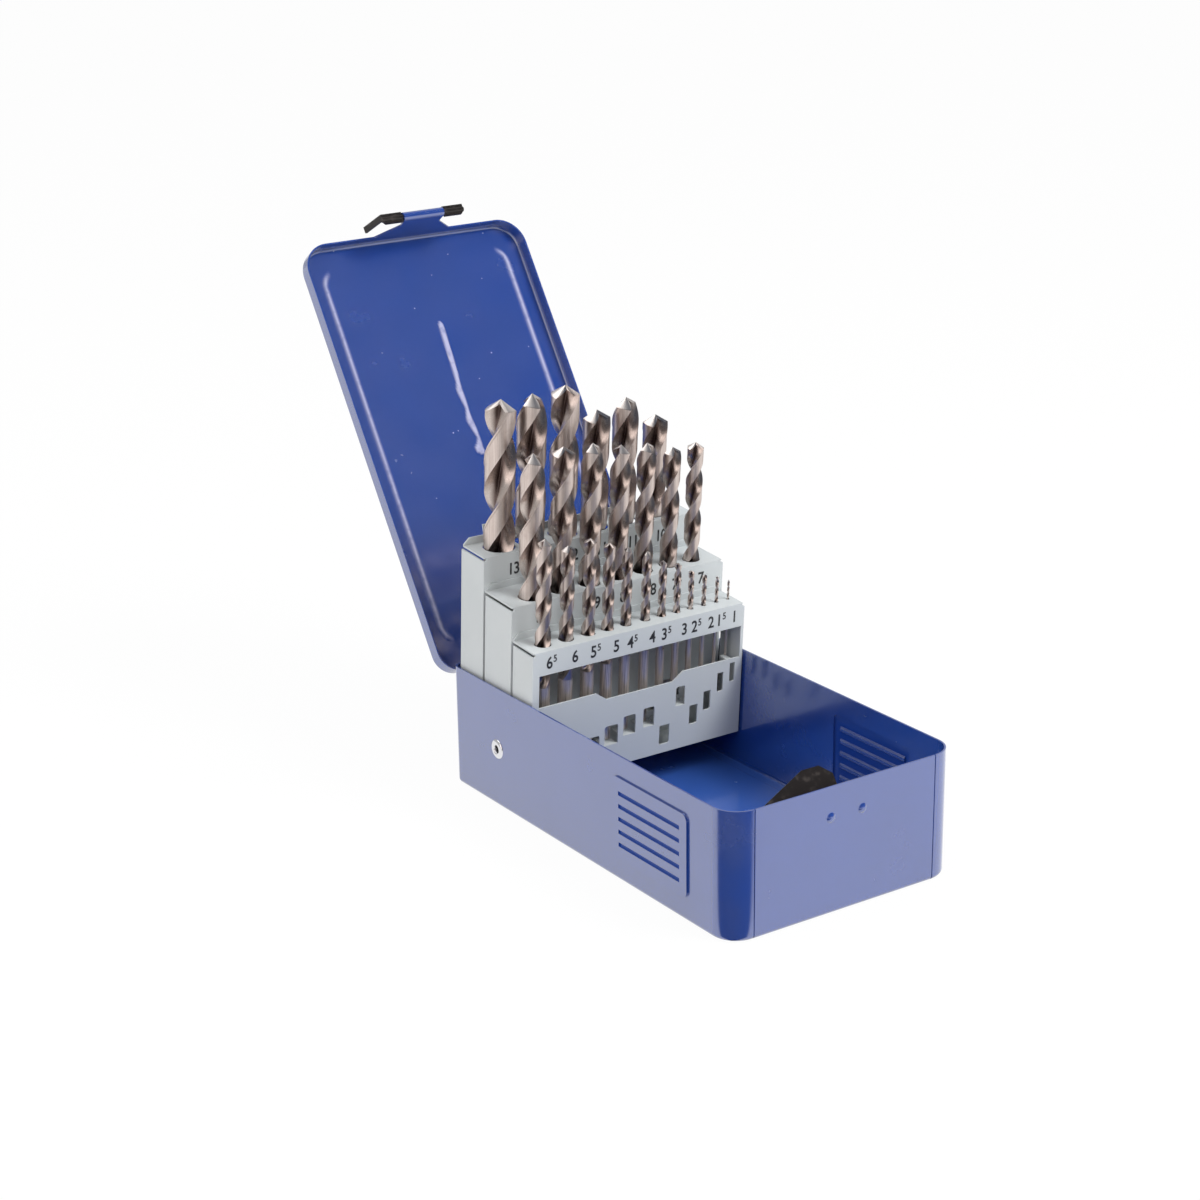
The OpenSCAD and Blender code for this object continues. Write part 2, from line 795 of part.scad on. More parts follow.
module rack_rear()
{
    color(white_sheet) rack_place()
    {
        rack(REAR_BITS, REAR, rear_foot_y);
        end_flaps([
            [rear_y, flap_gap - rack_drop],
            [rear_foot_y, flap_gap - rack_drop],
            [rack_end_y, rack_drop / 2],
            [rack_end_y, rear_top - flap_gap],
            [rear_y, rear_top - flap_gap]
        ]);
        translate([-lug_x, rack_end_y, rear_top + lip_h]) rotate([90, 0, 0]) linear_extrude(sheet)
            polygon([
                [lug_taper - lug_w / 2, -eps],
                [lug_w / 2 - lug_taper, -eps],
                [lug_w / 2, lug_h],
                [-lug_w / 2, lug_h]
            ]);
    }
}

// ---- lid ----

// Lid as closed: a plate on a folded edge, turned upside down from the wall section
module lid_shell()
{
    color(paint) lid_place() translate([0, 0, lid_outer_z]) mirror([0, 0, 1])
    {
        linear_extrude(sheet)
            plate_outline(
                lid_half - lid_fold, lid_front_y + lid_fold, lid_rear_y - lid_fold,
                lid_corner_r - lid_fold, lid_rear_corner_r - lid_fold
            );
        run_along_x(lid_front_y, lid_half - lid_corner_r, lid_depth, lid_fold + eps, lid_bend_r);
        mirror([0, 1, 0]) run_along_x(
            -lid_rear_y, lid_half - lid_rear_corner_r, lid_depth, lid_fold + eps, lid_bend_r
        );
        for (side = [0, 1])
            mirror([side, 0, 0])
            {
                run_along_y(
                    lid_half, lid_front_y + lid_corner_r, lid_rear_y - lid_rear_corner_r,
                    lid_depth, lid_fold + eps, lid_bend_r
                );
                run_round_corner(
                    lid_half, lid_front_y, lid_corner_r, lid_depth, lid_fold + eps, lid_bend_r
                );
                mirror([0, 1, 0]) run_round_corner(
                    lid_half, -lid_rear_y, lid_rear_corner_r, lid_depth, lid_fold + eps, lid_bend_r
                );
            }
    }
}

// ---- latch ----

// Tab that runs down from the lid's edge and rolls up into the curl
module latch_tab()
{
    bore_r = rod_r + rod_clear;
    meet_y = curl_y + (curl_r + bore_r + sheet) / 2;
    drop = lid_edge_z - curl_z;
    lean = atan2(lid_front_y + sheet - meet_y, drop);
    run = drop / cos(lean);
    neck = curl_w / 2 - tab_neck_inset;
    color(paint) lid_place() difference()
    {
        union()
        {
            translate([-curl_w / 2, curl_y, curl_z]) rotate([0, 90, 0]) cylinder(h = curl_w, r = curl_r);
            translate([0, lid_front_y, lid_edge_z]) rotate([-90 - lean, 0, 0]) linear_extrude(sheet)
                polygon([
                    [-tab_w / 2, 0],
                    [tab_w / 2, 0],
                    [neck, run * tab_neck_share],
                    [neck, run],
                    [-neck, run],
                    [-neck, run * tab_neck_share]
                ]);
        }
        translate([-curl_w / 2 - eps, curl_y, curl_z]) rotate([0, 90, 0])
            cylinder(h = curl_w + 2 * eps, r = bore_r);
    }
}

// Lever: a rod through the curl, a finger wing at each end and a bent arm on the left
module latch_lever()
{
    wing_l = (lever_l - curl_w) / 2 - wing_gap;
    color(spring_steel) lid_place() translate([0, curl_y, curl_z])
    {
        translate([-lever_l / 2, 0, 0]) rotate([0, 90, 0]) cylinder(h = lever_l, r = rod_r);
        for (side = [0, 1])
            mirror([side, 0, 0]) translate([curl_w / 2 + wing_gap, 0, -wing_t / 2])
                linear_extrude(wing_t) polygon([
                    [0, -wing_d / 2],
                    [wing_l, -wing_d / 2],
                    [wing_l, wing_d / 2 - wing_cut],
                    [wing_l - wing_cut, wing_d / 2],
                    [0, wing_d / 2]
                ]);
        translate([-lever_l / 2, -wing_d / 2, -wing_t / 2]) rotate([0, arm_angle, 0])
            mirror([1, 0, 0]) cube([arm_l, arm_w, wing_t]);
    }
}

// ---- bits ----

// Cross-section of the fluted part: two lands with a web between them
function flute_profile(r) = [
    for (i = [0:bit_sides - 1])
        let (a = 360 * i / bit_sides, land = min(1, 1.5 * abs(cos(a))))
            r * (web_share + (1 - web_share) * land) * [cos(a), sin(a)]
];

// The profile turned by an angle, at height z
function flute_ring(r, angle, z) = [
    for (p = flute_profile(r))
        [p[0] * cos(angle) - p[1] * sin(angle), p[0] * sin(angle) + p[1] * cos(angle), z]
];

// Triangles between neighbouring rings, and the two end faces
function ring_faces(rings, sides) = concat(
    [
        for (k = [0:rings - 2], i = [0:sides - 1])
            let (low = k * sides, high = low + sides, next = (i + 1) % sides)
                each [[low + i, high + i, low + next], [low + next, high + i, high + next]]
    ],
    [[for (i = [0:sides - 1]) i]],
    [[for (i = [sides - 1:-1:0]) (rings - 1) * sides + i]]
);

// Fluted part with its point, rising from z = 0: the rings turn as they rise
module fluted_part(r, straight_l, point_h, lead)
{
    steps = ceil(straight_l / lead * bit_slices_per_turn);
    rings = concat(
        [for (k = [0:steps]) flute_ring(r, 360 * k * straight_l / steps / lead, k * straight_l / steps)],
        [flute_ring(r * web_share, 360 * (straight_l + point_h) / lead, straight_l + point_h)]
    );
    polyhedron([for (ring = rings) each ring], ring_faces(len(rings), bit_sides));
}

// One bit standing on the origin, point up
module drill_bit(d, overall, flute_l)
{
    r = flute_share * d / 2;
    point_h = r / tan(point_angle / 2);
    shank_l = overall - flute_l;
    cylinder(h = shank_l, r = d / 2);
    translate([0, 0, shank_l - bit_root])
        fluted_part(r, flute_l - point_h + bit_root, point_h, PI * d / tan(helix_angle));
}

module placed_bit(entry)
{
    bit = entry[0];
    row = entry[1];
    color(tool_steel) rack_place() translate([bit_x(bit), row[0] + row[3], bit[4]])
        drill_bit(bit[0], bit[1], bit[2]);
}

tray_floor();
tray_side_left();
tray_side_right();
tray_rear_wall();
tray_knuckles();
hinge_pin();
pivot_eyelet_left();
pivot_eyelet_right();
lid_spring();
rack_front();
rack_middle();
rack_rear();
lid_shell();
lid_knuckles();
latch_tab();
latch_lever();
for (i = [0:len(BITS) - 1])
    placed_bit(BITS[i]);
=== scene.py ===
"""Looks of the folding drill bit case.

Materials, fluted bits, pressed lid, printed numbers, light and camera.

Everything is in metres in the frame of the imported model: origin in the middle of the tray's
underside, +Z up, -Y the latch end. Sizes written in millimetres are multiplied by MM.
"""

import json
import math

import bmesh
import bpy
import numpy as np
from mathutils import Matrix, Vector


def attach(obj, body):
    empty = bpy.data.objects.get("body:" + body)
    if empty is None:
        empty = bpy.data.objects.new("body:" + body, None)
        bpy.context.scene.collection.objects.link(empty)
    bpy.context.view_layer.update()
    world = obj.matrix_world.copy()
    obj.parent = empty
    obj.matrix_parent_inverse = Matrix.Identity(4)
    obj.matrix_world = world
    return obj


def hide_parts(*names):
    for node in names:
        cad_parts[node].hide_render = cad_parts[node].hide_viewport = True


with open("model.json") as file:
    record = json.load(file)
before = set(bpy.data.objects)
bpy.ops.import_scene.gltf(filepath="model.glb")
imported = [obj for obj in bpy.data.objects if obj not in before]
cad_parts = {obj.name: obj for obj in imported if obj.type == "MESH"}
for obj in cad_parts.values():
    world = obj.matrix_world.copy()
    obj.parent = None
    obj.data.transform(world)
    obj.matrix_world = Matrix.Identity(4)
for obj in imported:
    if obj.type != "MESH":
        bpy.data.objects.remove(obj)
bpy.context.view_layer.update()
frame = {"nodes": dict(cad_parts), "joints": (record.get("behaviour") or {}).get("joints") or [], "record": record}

MM = 0.001
joints = {joint["name"]: joint for joint in frame["joints"]}


# ---------------------------------------------------------------- camera and light

# Fitted to the photograph; the place is in millimetres, the angles in degrees
CAMERA_PLACE = (-561.77, -763.45, 428.26)
CAMERA_AZIMUTH = -34.13
CAMERA_ELEVATION = 19.31
CAMERA_ROLL = -0.77
FRAME_PX = 1200
FOCAL_PX = 2572.3
SENSOR_MM = 36.0


def make_camera():
    az, el, roll = (math.radians(a) for a in (CAMERA_AZIMUTH, CAMERA_ELEVATION, CAMERA_ROLL))
    back = Vector((math.sin(az) * math.cos(el), -math.cos(az) * math.cos(el), math.sin(el)))
    right = Vector((math.cos(az), math.sin(az), 0.0))
    up = back.cross(right)
    turned_right = math.cos(roll) * right + math.sin(roll) * up
    turned_up = math.cos(roll) * up - math.sin(roll) * right
    place = Vector(CAMERA_PLACE) * MM
    data = bpy.data.cameras.new("camera")
    data.sensor_width = SENSOR_MM
    data.lens = FOCAL_PX * SENSOR_MM / FRAME_PX
    data.clip_start = 0.05
    data.clip_end = 50.0
    camera = bpy.data.objects.new("camera", data)
    axes = Matrix((turned_right, turned_up, back)).transposed().to_4x4()
    camera.matrix_world = Matrix.Translation(place) @ axes
    bpy.context.collection.objects.link(camera)
    bpy.context.scene.camera = camera


def add_area_light(name, place, target, size, power, colour=(1.0, 1.0, 1.0), mirrored=True):
    data = bpy.data.lights.new(name, "AREA")
    data.shape = "RECTANGLE"
    data.size, data.size_y = size
    data.energy = power
    data.color = colour
    light = bpy.data.objects.new(name, data)
    light.location = place
    light.visible_glossy = mirrored
    aim = Vector(target) - Vector(place)
    light.rotation_euler = aim.to_track_quat("-Z", "Y").to_euler()
    bpy.context.collection.objects.link(light)


# The room that reflections show: bright, dark beyond the lid and dark on the camera's side. Start
# and end are the cosines of the angle from each dark direction between which the room darkens
WORLD_LIGHT = 0.6
ROOM_BRIGHT = (0.5, 0.5, 0.5)
ROOM_DARK = (0.045, 0.06, 0.09)
ROOM_DARK_TOWARDS = (0.53, -0.6, 0.6)
ROOM_DARK_START = 0.62
ROOM_DARK_END = 0.9
ROOM_FRONT = (0.07, 0.06, 0.06)
ROOM_FRONT_TOWARDS = (-0.5, -0.8, 0.3)
ROOM_FRONT_START = 0.6
ROOM_FRONT_END = 0.88


def map_range(nodes, links, value, low, high, to_low, to_high):
    node = nodes.new("ShaderNodeMapRange")
    node.interpolation_type = "SMOOTHSTEP"
    node.inputs["From Min"].default_value = low
    node.inputs["From Max"].default_value = high
    node.inputs["To Min"].default_value = to_low
    node.inputs["To Max"].default_value = to_high
    links.new(value, node.inputs["Value"])
    return node.outputs["Result"]


def vector_math(nodes, links, operation, first, second=None):
    node = nodes.new("ShaderNodeVectorMath")
    node.operation = operation
    links.new(first, node.inputs[0])
    if second is not None:
        node.inputs[1].default_value = second
    return node


def make_world():
    """White to the camera, even light on the object, and in reflections a room with dark sides."""
    world = bpy.data.worlds.new("studio")
    bpy.context.scene.world = world
    world.use_nodes = True
    nodes, links = world.node_tree.nodes, world.node_tree.links
    nodes.clear()

    def background(colour, strength):
        node = nodes.new("ShaderNodeBackground")
        node.inputs["Color"].default_value = (*colour, 1.0)
        node.inputs["Strength"].default_value = strength
        return node.outputs[0]

    def mix(factor, first, second):
        node = nodes.new("ShaderNodeMixShader")
        links.new(factor, node.inputs[0])
        links.new(first, node.inputs[1])
        links.new(second, node.inputs[2])
        return node.outputs[0]

    path = nodes.new("ShaderNodeLightPath")
    direction = nodes.new("ShaderNodeTexCoord").outputs["Generated"]
    aim = vector_math(
        nodes, links, "DOT_PRODUCT", direction, Vector(ROOM_DARK_TOWARDS).normalized()
    )
    dark = map_range(
        nodes, links, aim.outputs["Value"], ROOM_DARK_START, ROOM_DARK_END, 0.0, 1.0
    )
    front_aim = vector_math(
        nodes, links, "DOT_PRODUCT", direction, Vector(ROOM_FRONT_TOWARDS).normalized()
    )
    front = map_range(
        nodes, links, front_aim.outputs["Value"], ROOM_FRONT_START, ROOM_FRONT_END, 0.0, 1.0
    )
    room = mix(front, background(ROOM_BRIGHT, 1.0), background(ROOM_FRONT, 1.0))
    room = mix(dark, room, background(ROOM_DARK, 1.0))
    lit = mix(path.outputs["Is Glossy Ray"], background((1.0, 1.0, 1.0), WORLD_LIGHT), room)
    seen = mix(path.outputs["Is Camera Ray"], lit, background((1.0, 1.0, 1.0), 1.0))
    output = nodes.new("ShaderNodeOutputWorld")
    links.new(seen, output.inputs["Surface"])


# The cloth's place and reach are in millimetres, its start and end cosines as in the room
FLOOR_HALF = 6.0
FLOOR_COLOUR = (0.86, 0.86, 0.86)
FLOOR_DROP = 0.05 * MM
FLOOR_BACKDROP_SHARE = 0.96
FLOOR_IN_REFLECTIONS = 1.0
DARK_CLOTH_APEX = (-50.0, -91.0)
DARK_CLOTH_TOWARDS = (-0.65, -0.76)
DARK_CLOTH_START = 0.2
DARK_CLOTH_END = 0.42
DARK_CLOTH_NEAR = 140.0
DARK_CLOTH_FAR = 260.0
DARK_CLOTH_LEVEL = 0.015


def floor_in_reflections(nodes, links):
    """White floor with a dark cloth off the case's near corner, which only reflections show."""
    place = nodes.new("ShaderNodeTexCoord").outputs["Object"]
    apex = (-DARK_CLOTH_APEX[0] * MM, -DARK_CLOTH_APEX[1] * MM, 0.0)
    away = vector_math(nodes, links, "ADD", place, apex).outputs[0]
    unit = vector_math(nodes, links, "NORMALIZE", away).outputs[0]
    aim = vector_math(nodes, links, "DOT_PRODUCT", unit, (*DARK_CLOTH_TOWARDS, 0.0))
    distance = vector_math(nodes, links, "LENGTH", away)
    sector = map_range(
        nodes, links, aim.outputs["Value"], DARK_CLOTH_START, DARK_CLOTH_END, 0.0, 1.0
    )
    reach = map_range(
        nodes, links, distance.outputs["Value"],
        DARK_CLOTH_NEAR * MM, DARK_CLOTH_FAR * MM, 1.0, 0.0,
    )
    both = nodes.new("ShaderNodeMath")
    both.operation = "MULTIPLY"
    links.new(sector, both.inputs[0])
    links.new(reach, both.inputs[1])
    return map_range(
        nodes, links, both.outputs[0], 0.0, 1.0, FLOOR_IN_REFLECTIONS, DARK_CLOTH_LEVEL
    )


def make_floor():
    bpy.ops.mesh.primitive_plane_add(size=2 * FLOOR_HALF, location=(0, 0, -FLOOR_DROP))
    floor = bpy.context.object
    floor.name = "floor"
    material = bpy.data.materials.new("floor_white")
    material.use_nodes = True
    nodes, links = material.node_tree.nodes, material.node_tree.links
    nodes.clear()
    diffuse = nodes.new("ShaderNodeBsdfDiffuse")
    diffuse.inputs["Color"].default_value = (*FLOOR_COLOUR, 1.0)
    glow = nodes.new("ShaderNodeEmission")
    glow.inputs["Color"].default_value = (1.0, 1.0, 1.0, 1.0)
    path = nodes.new("ShaderNodeLightPath")
    share = nodes.new("ShaderNodeMath")
    share.operation = "MULTIPLY"
    share.inputs[1].default_value = FLOOR_BACKDROP_SHARE
    links.new(path.outputs["Is Camera Ray"], share.inputs[0])
    direct = nodes.new("ShaderNodeMixShader")
    links.new(share.outputs[0], direct.inputs[0])
    links.new(diffuse.outputs[0], direct.inputs[1])
    links.new(glow.outputs[0], direct.inputs[2])
    mirrored = nodes.new("ShaderNodeEmission")
    links.new(floor_in_reflections(nodes, links), mirrored.inputs["Color"])
    final = nodes.new("ShaderNodeMixShader")
    links.new(path.outputs["Is Glossy Ray"], final.inputs[0])
    links.new(direct.outputs[0], final.inputs[1])
    links.new(mirrored.outputs[0], final.inputs[2])
    output = nodes.new("ShaderNodeOutputMaterial")
    links.new(final.outputs[0], output.inputs["Surface"])
    floor.data.materials.append(material)


def make_lights():
    add_area_light("key", (0.5, -0.7, 1.1), (0, 0, 0.03), (0.6, 0.6), 16.0, mirrored=False)
    add_area_light(
        "left", (-1.1, -0.42, 0.62), (0, 0.06, 0.08), (1.0, 1.1), 4.5, colour=(1.0, 0.91, 0.87)
    )
    add_area_light("top", (-0.3, 0.5, 1.2), (0, 0, 0.05), (0.9, 0.9), 3.5)


# ---------------------------------------------------------------- materials

# The tray floor's painted light, a paler blue on its upward faces: its height, and how far upward a face has to
# look
PAINTED_FLOOR_LIGHT_Z = 2.0 * MM
UPWARD_START = 0.9
UPWARD_END = 0.97


class Shader:
    """A Principled material with short helpers for its procedural detail."""

    def __init__(self, name, colour, roughness, metallic=0.0):
        self.material = bpy.data.materials.new(name)
        self.material.use_nodes = True
        self.nodes = self.material.node_tree.nodes
        self.links = self.material.node_tree.links
        self.bsdf = self.nodes["Principled BSDF"]
        self.bsdf.inputs["Base Color"].default_value = (*colour, 1.0)
        self.bsdf.inputs["Roughness"].default_value = roughness
        self.bsdf.inputs["Metallic"].default_value = metallic
        self.where = self.nodes.new("ShaderNodeTexCoord").outputs["Object"]
        self.height = None

    def noise(self, scale, detail=3.0, roughness=0.55, vector=None):
        node = self.nodes.new("ShaderNodeTexNoise")
        node.inputs["Scale"].default_value = scale
        node.inputs["Detail"].default_value = detail
        node.inputs["Roughness"].default_value = roughness
        self.links.new(vector or self.where, node.inputs["Vector"])
        return node.outputs["Fac"]

    def stretched(self, scale):
        node = self.nodes.new("ShaderNodeMapping")
        node.inputs["Scale"].default_value = scale
        self.links.new(self.where, node.inputs["Vector"])
        return node.outputs["Vector"]

    def remap(self, value, low, high, to_low=0.0, to_high=1.0):
        node = self.nodes.new("ShaderNodeMapRange")
        node.inputs["From Min"].default_value = low
        node.inputs["From Max"].default_value = high
        node.inputs["To Min"].default_value = to_low
        node.inputs["To Max"].default_value = to_high
        self.links.new(value, node.inputs["Value"])
        return node.outputs["Result"]

    def math(self, operation, first, second):
        node = self.nodes.new("ShaderNodeMath")
        node.operation = operation
        for socket, value in zip(node.inputs, (first, second)):
            if isinstance(value, (int, float)):
                socket.default_value = value
            else:
                self.links.new(value, socket)
        return node.outputs[0]

    def mix_colour(self, factor, first, second):
        node = self.nodes.new("ShaderNodeMix")
        node.data_type = "RGBA"
        self.links.new(factor, node.inputs["Factor"])
        for socket, value in ((node.inputs[6], first), (node.inputs[7], second)):
            if isinstance(value, tuple):
                socket.default_value = (*value, 1.0)
            else:
                self.links.new(value, socket)
        return node.outputs[2]

    def attribute(self, name):
        node = self.nodes.new("ShaderNodeAttribute")
        node.attribute_name = name
        return node

    def colour(self, socket):
        self.links.new(socket, self.bsdf.inputs["Base Color"])

    def roughness(self, socket):
        self.links.new(socket, self.bsdf.inputs["Roughness"])

    def painted_floor_light(self):
        """1 on upward faces within a few millimetres of the tray's underside: the mask of the floor's painted
        light.
        """
        height = self.nodes.new("ShaderNodeSeparateXYZ")
        self.links.new(self.where, height.inputs[0])
        low = self.remap(
            height.outputs["Z"], PAINTED_FLOOR_LIGHT_Z, 2.0 * PAINTED_FLOOR_LIGHT_Z, 1.0, 0.0
        )
        geometry = self.nodes.new("ShaderNodeNewGeometry")
        facing = self.nodes.new("ShaderNodeSeparateXYZ")
        self.links.new(geometry.outputs["Normal"], facing.inputs[0])
        upward = self.remap(facing.outputs["Z"], UPWARD_START, UPWARD_END)
        return self.math("MULTIPLY", low, upward)

    def bump(self, socket, distance, strength=1.0):
        node = self.nodes.new("ShaderNodeBump")
        node.inputs["Strength"].default_value = strength
        node.inputs["Distance"].default_value = distance
        self.links.new(socket, node.inputs["Height"])
        if self.height is not None:
            self.links.new(self.height, node.inputs["Normal"])
        self.height = node.outputs["Normal"]
        self.links.new(self.height, self.bsdf.inputs["Normal"])


BLUE = (0.012, 0.052, 0.285)
BLUE_DEEP = (0.01, 0.043, 0.24)
# Painted light: the paler blue of the tray's floor
BLUE_PAINTED_FLOOR_LIGHT = (0.045, 0.13, 0.5)
# Painted highlight: the pale lavender on the lid's bead crests and pressed emblem
BLUE_PAINTED_HIGHLIGHT = (0.42, 0.43, 0.64)
# The "groove" value from which on a groove is fully dull, and the gloss it keeps: taking out the gloss paints
# shade in the grooves
GROOVE_FULL = 0.7
GROOVE_GLOSS = 0.1


def blue_enamel():
    """Glossy stoved enamel: faint orange peel, painted light on the tray's floor, painted shade in grooves through
    less gloss, painted highlights on the lid's beads and emblem.
    """
    shader = Shader("blue_enamel", BLUE, 0.2)
    shader.bsdf.inputs["IOR"].default_value = 2.25
    shader.bsdf.inputs["Coat Roughness"].default_value = 0.12
    shader.bsdf.inputs["Coat IOR"].default_value = 1.6
    groove = shader.attribute("groove")
    # painted shade: the grooves lose their gloss and coat so that they render dark
    free = shader.remap(groove.outputs["Fac"], 0.0, GROOVE_FULL, 1.0, GROOVE_GLOSS)
    shader.links.new(free, shader.bsdf.inputs["Coat Weight"])
    shader.links.new(
        shader.math("MULTIPLY", free, 0.5), shader.bsdf.inputs["Specular IOR Level"]
    )
    clouds = shader.noise(28.0, 3.0)
    body = shader.mix_colour(clouds, BLUE, BLUE_DEEP)
    # painted light: the tray's upward floor faces turn a paler blue
    body = shader.mix_colour(shader.painted_floor_light(), body, BLUE_PAINTED_FLOOR_LIGHT)
    # painted highlight on the lid's bead crests and emblem, broken into patches
    painted_highlight = shader.attribute("painted_highlight")
    patchy = shader.remap(shader.noise(240.0), 0.25, 0.5, 0.6, 1.0)
    highlit = shader.math("MULTIPLY", painted_highlight.outputs["Fac"], patchy)
    shader.colour(shader.mix_colour(highlit, body, BLUE_PAINTED_HIGHLIGHT))
    shader.roughness(shader.remap(shader.noise(60.0, 4.0), 0.3, 0.7, 0.16, 0.28))
    shader.bump(shader.noise(900.0, 2.0), 0.012 * MM)
    shader.bump(shader.noise(35.0, 2.0), 0.05 * MM)
    return shader.material


GREY = (0.58, 0.6, 0.61)
GREY_LIGHT = (0.55, 0.585, 0.595)
GREY_DEEP = (0.5, 0.535, 0.55)


def grey_enamel():
    """Satin light grey enamel with a faint grain."""
    shader = Shader("grey_enamel", GREY, 0.42)
    clouds = shader.noise(40.0, 4.0)
    body = shader.mix_colour(clouds, GREY_LIGHT, GREY_DEEP)
    shader.colour(body)
    shader.roughness(shader.remap(shader.noise(90.0, 3.0), 0.3, 0.7, 0.36, 0.52))
    shader.bump(shader.noise(1400.0, 2.0), 0.012 * MM)
    return shader.material


PLATED = (0.78, 0.78, 0.8)
PLATED_ROUGHNESS = 0.16
SCRATCH_DEPTH = 0.02 * MM


def bare_steel(name, colour, roughness):
    """Bright metal with fine scratches."""
    shader = Shader(name, colour, roughness, metallic=1.0)
    scratches = shader.noise(300.0, 4.0, vector=shader.stretched((1.0, 8.0, 1.0)))
    shader.roughness(shader.remap(scratches, 0.3, 0.7, roughness * 0.7, roughness * 1.4))
    shader.bump(scratches, SCRATCH_DEPTH, 0.3)
    return shader.material


STEEL = (0.66, 0.565, 0.52)
LAND_LIGHT = (0.78, 0.68, 0.63)
LAND_DARK = (0.58, 0.485, 0.44)
LAND_CLOUD = (0.5, 0.4, 0.36)
FLUTE_LIGHT = (0.72, 0.635, 0.585)
FLUTE_DARK = (0.56, 0.47, 0.43)
# Painted shade: the dark brown in the middle of each flute
FLUTE_PAINTED_SHADE = (0.14, 0.1, 0.09)
# Turned grain on the shank, its strong light and dark a painted highlight and painted shade
SHANK_STREAK_HIGHLIGHT = (0.95, 0.86, 0.8)
SHANK_STREAK_SHADE = (0.32, 0.27, 0.25)
# Painted highlight: the whiter point facets
POINT_PAINTED_HIGHLIGHT = (0.95, 0.88, 0.84)
SHANK_METALLIC = 0.72


def tool_steel():
    """Ground high-speed steel: warm satin lands with fine lengthwise lines, polished flutes.

    Painted shade darkens the middle of each flute, a painted highlight whitens the point, and the
    shank's turned streaks carry painted highlight and shade.

    The bits' "flute" attribute is 0 on a land, up to 1 deep in a flute, and -1 on the shank.
    """
    shader = Shader("tool_steel", STEEL, 0.3, metallic=1.0)
    ground = shader.attribute("grind")
    hollow = shader.attribute("flute")
    flute = shader.remap(hollow.outputs["Fac"], 0.05, 0.3)
    deep = shader.remap(hollow.outputs["Fac"], 0.35, 0.85)
    shank = shader.remap(hollow.outputs["Fac"], 0.0, -1.0)
    lines = shader.noise(1.0, 4.0, 0.6, vector=ground.outputs["Vector"])
    streaks = shader.remap(lines, 0.3, 0.7)
    clouds = shader.noise(160.0, 3.0)
    land = shader.mix_colour(streaks, LAND_LIGHT, LAND_DARK)
    land = shader.mix_colour(shader.remap(clouds, 0.55, 0.8), land, LAND_CLOUD)
    polished = shader.mix_colour(streaks, FLUTE_LIGHT, FLUTE_DARK)
    # painted shade in the middle of each flute
    polished = shader.mix_colour(deep, polished, FLUTE_PAINTED_SHADE)
    # the shank's turned streaks, with painted highlight and shade in their contrast
    turned = shader.mix_colour(streaks, SHANK_STREAK_HIGHLIGHT, SHANK_STREAK_SHADE)
    body = shader.mix_colour(flute, land, polished)
    point = shader.attribute("pointed")
    # painted highlight on the point facets
    body = shader.mix_colour(point.outputs["Fac"], body, POINT_PAINTED_HIGHLIGHT)
    shader.colour(shader.mix_colour(shank, body, turned))
    shader.links.new(
        shader.remap(shank, 0.0, 1.0, 1.0, SHANK_METALLIC), shader.bsdf.inputs["Metallic"]
    )
    satin = shader.remap(lines, 0.3, 0.7, 0.32, 0.44)
    shine = shader.math("MULTIPLY", flute, -0.08)
    shader.roughness(shader.math("ADD", satin, shine))
    shader.bump(lines, 0.002 * MM, 0.5)
    return shader.material


BLACK = (0.018, 0.018, 0.02)
BLACK_CLEAN = (0.015, 0.012, 0.011)
BLACK_DUSTY = (0.055, 0.046, 0.042)


def black_steel():
    """Blackened spring steel, satin, with dust caught in its grain."""
    shader = Shader("black_steel", BLACK, 0.38)
    dust = shader.noise(420.0, 3.0)
    caught = shader.remap(dust, 0.55, 0.8)
    shader.colour(shader.mix_colour(caught, BLACK_CLEAN, BLACK_DUSTY))
    shader.roughness(shader.remap(dust, 0.3, 0.7, 0.3, 0.5))
    shader.bump(shader.noise(1500.0, 2.0), 0.01 * MM)
    return shader.material


DUSTY = (0.3, 0.36, 0.6)
DUSTY_DARK = (0.22, 0.28, 0.55)
DUSTY_LIGHT = (0.42, 0.48, 0.7)


def dusty_enamel():
    """Enamel over dust: paler and duller than the sheet round it."""
    shader = Shader("dusty_enamel", DUSTY, 0.45)
    uneven = shader.noise(900.0, 2.0)
    shader.colour(shader.mix_colour(uneven, DUSTY_DARK, DUSTY_LIGHT))
    shader.bump(uneven, 0.01 * MM)
    return shader.material


INK = (0.015, 0.015, 0.017)
INK_FULL = (0.012, 0.012, 0.014)
INK_THIN = (0.07, 0.07, 0.075)


def number_ink():
    """Black stamping ink, slightly uneven."""
    shader = Shader("number_ink", INK, 0.5)
    uneven = shader.noise(700.0, 3.0)
    thin = shader.remap(uneven, 0.4, 0.75)
    shader.colour(shader.mix_colour(thin, INK_FULL, INK_THIN))
    return shader.material


# ---------------------------------------------------------------- mesh helpers

def link_object(name, mesh):
    piece = bpy.data.objects.new(name, mesh)
    bpy.context.collection.objects.link(piece)
    return piece


def smooth(mesh, angle_deg):
    mesh.shade_smooth()
    mesh.set_sharp_from_angle(angle=math.radians(angle_deg))


WELD = 0.002 * MM
COPLANAR_DEG = 0.5
SHARP_EDGE_DEG = 28.0
SMOOTH_BELOW_DEG = 40.0


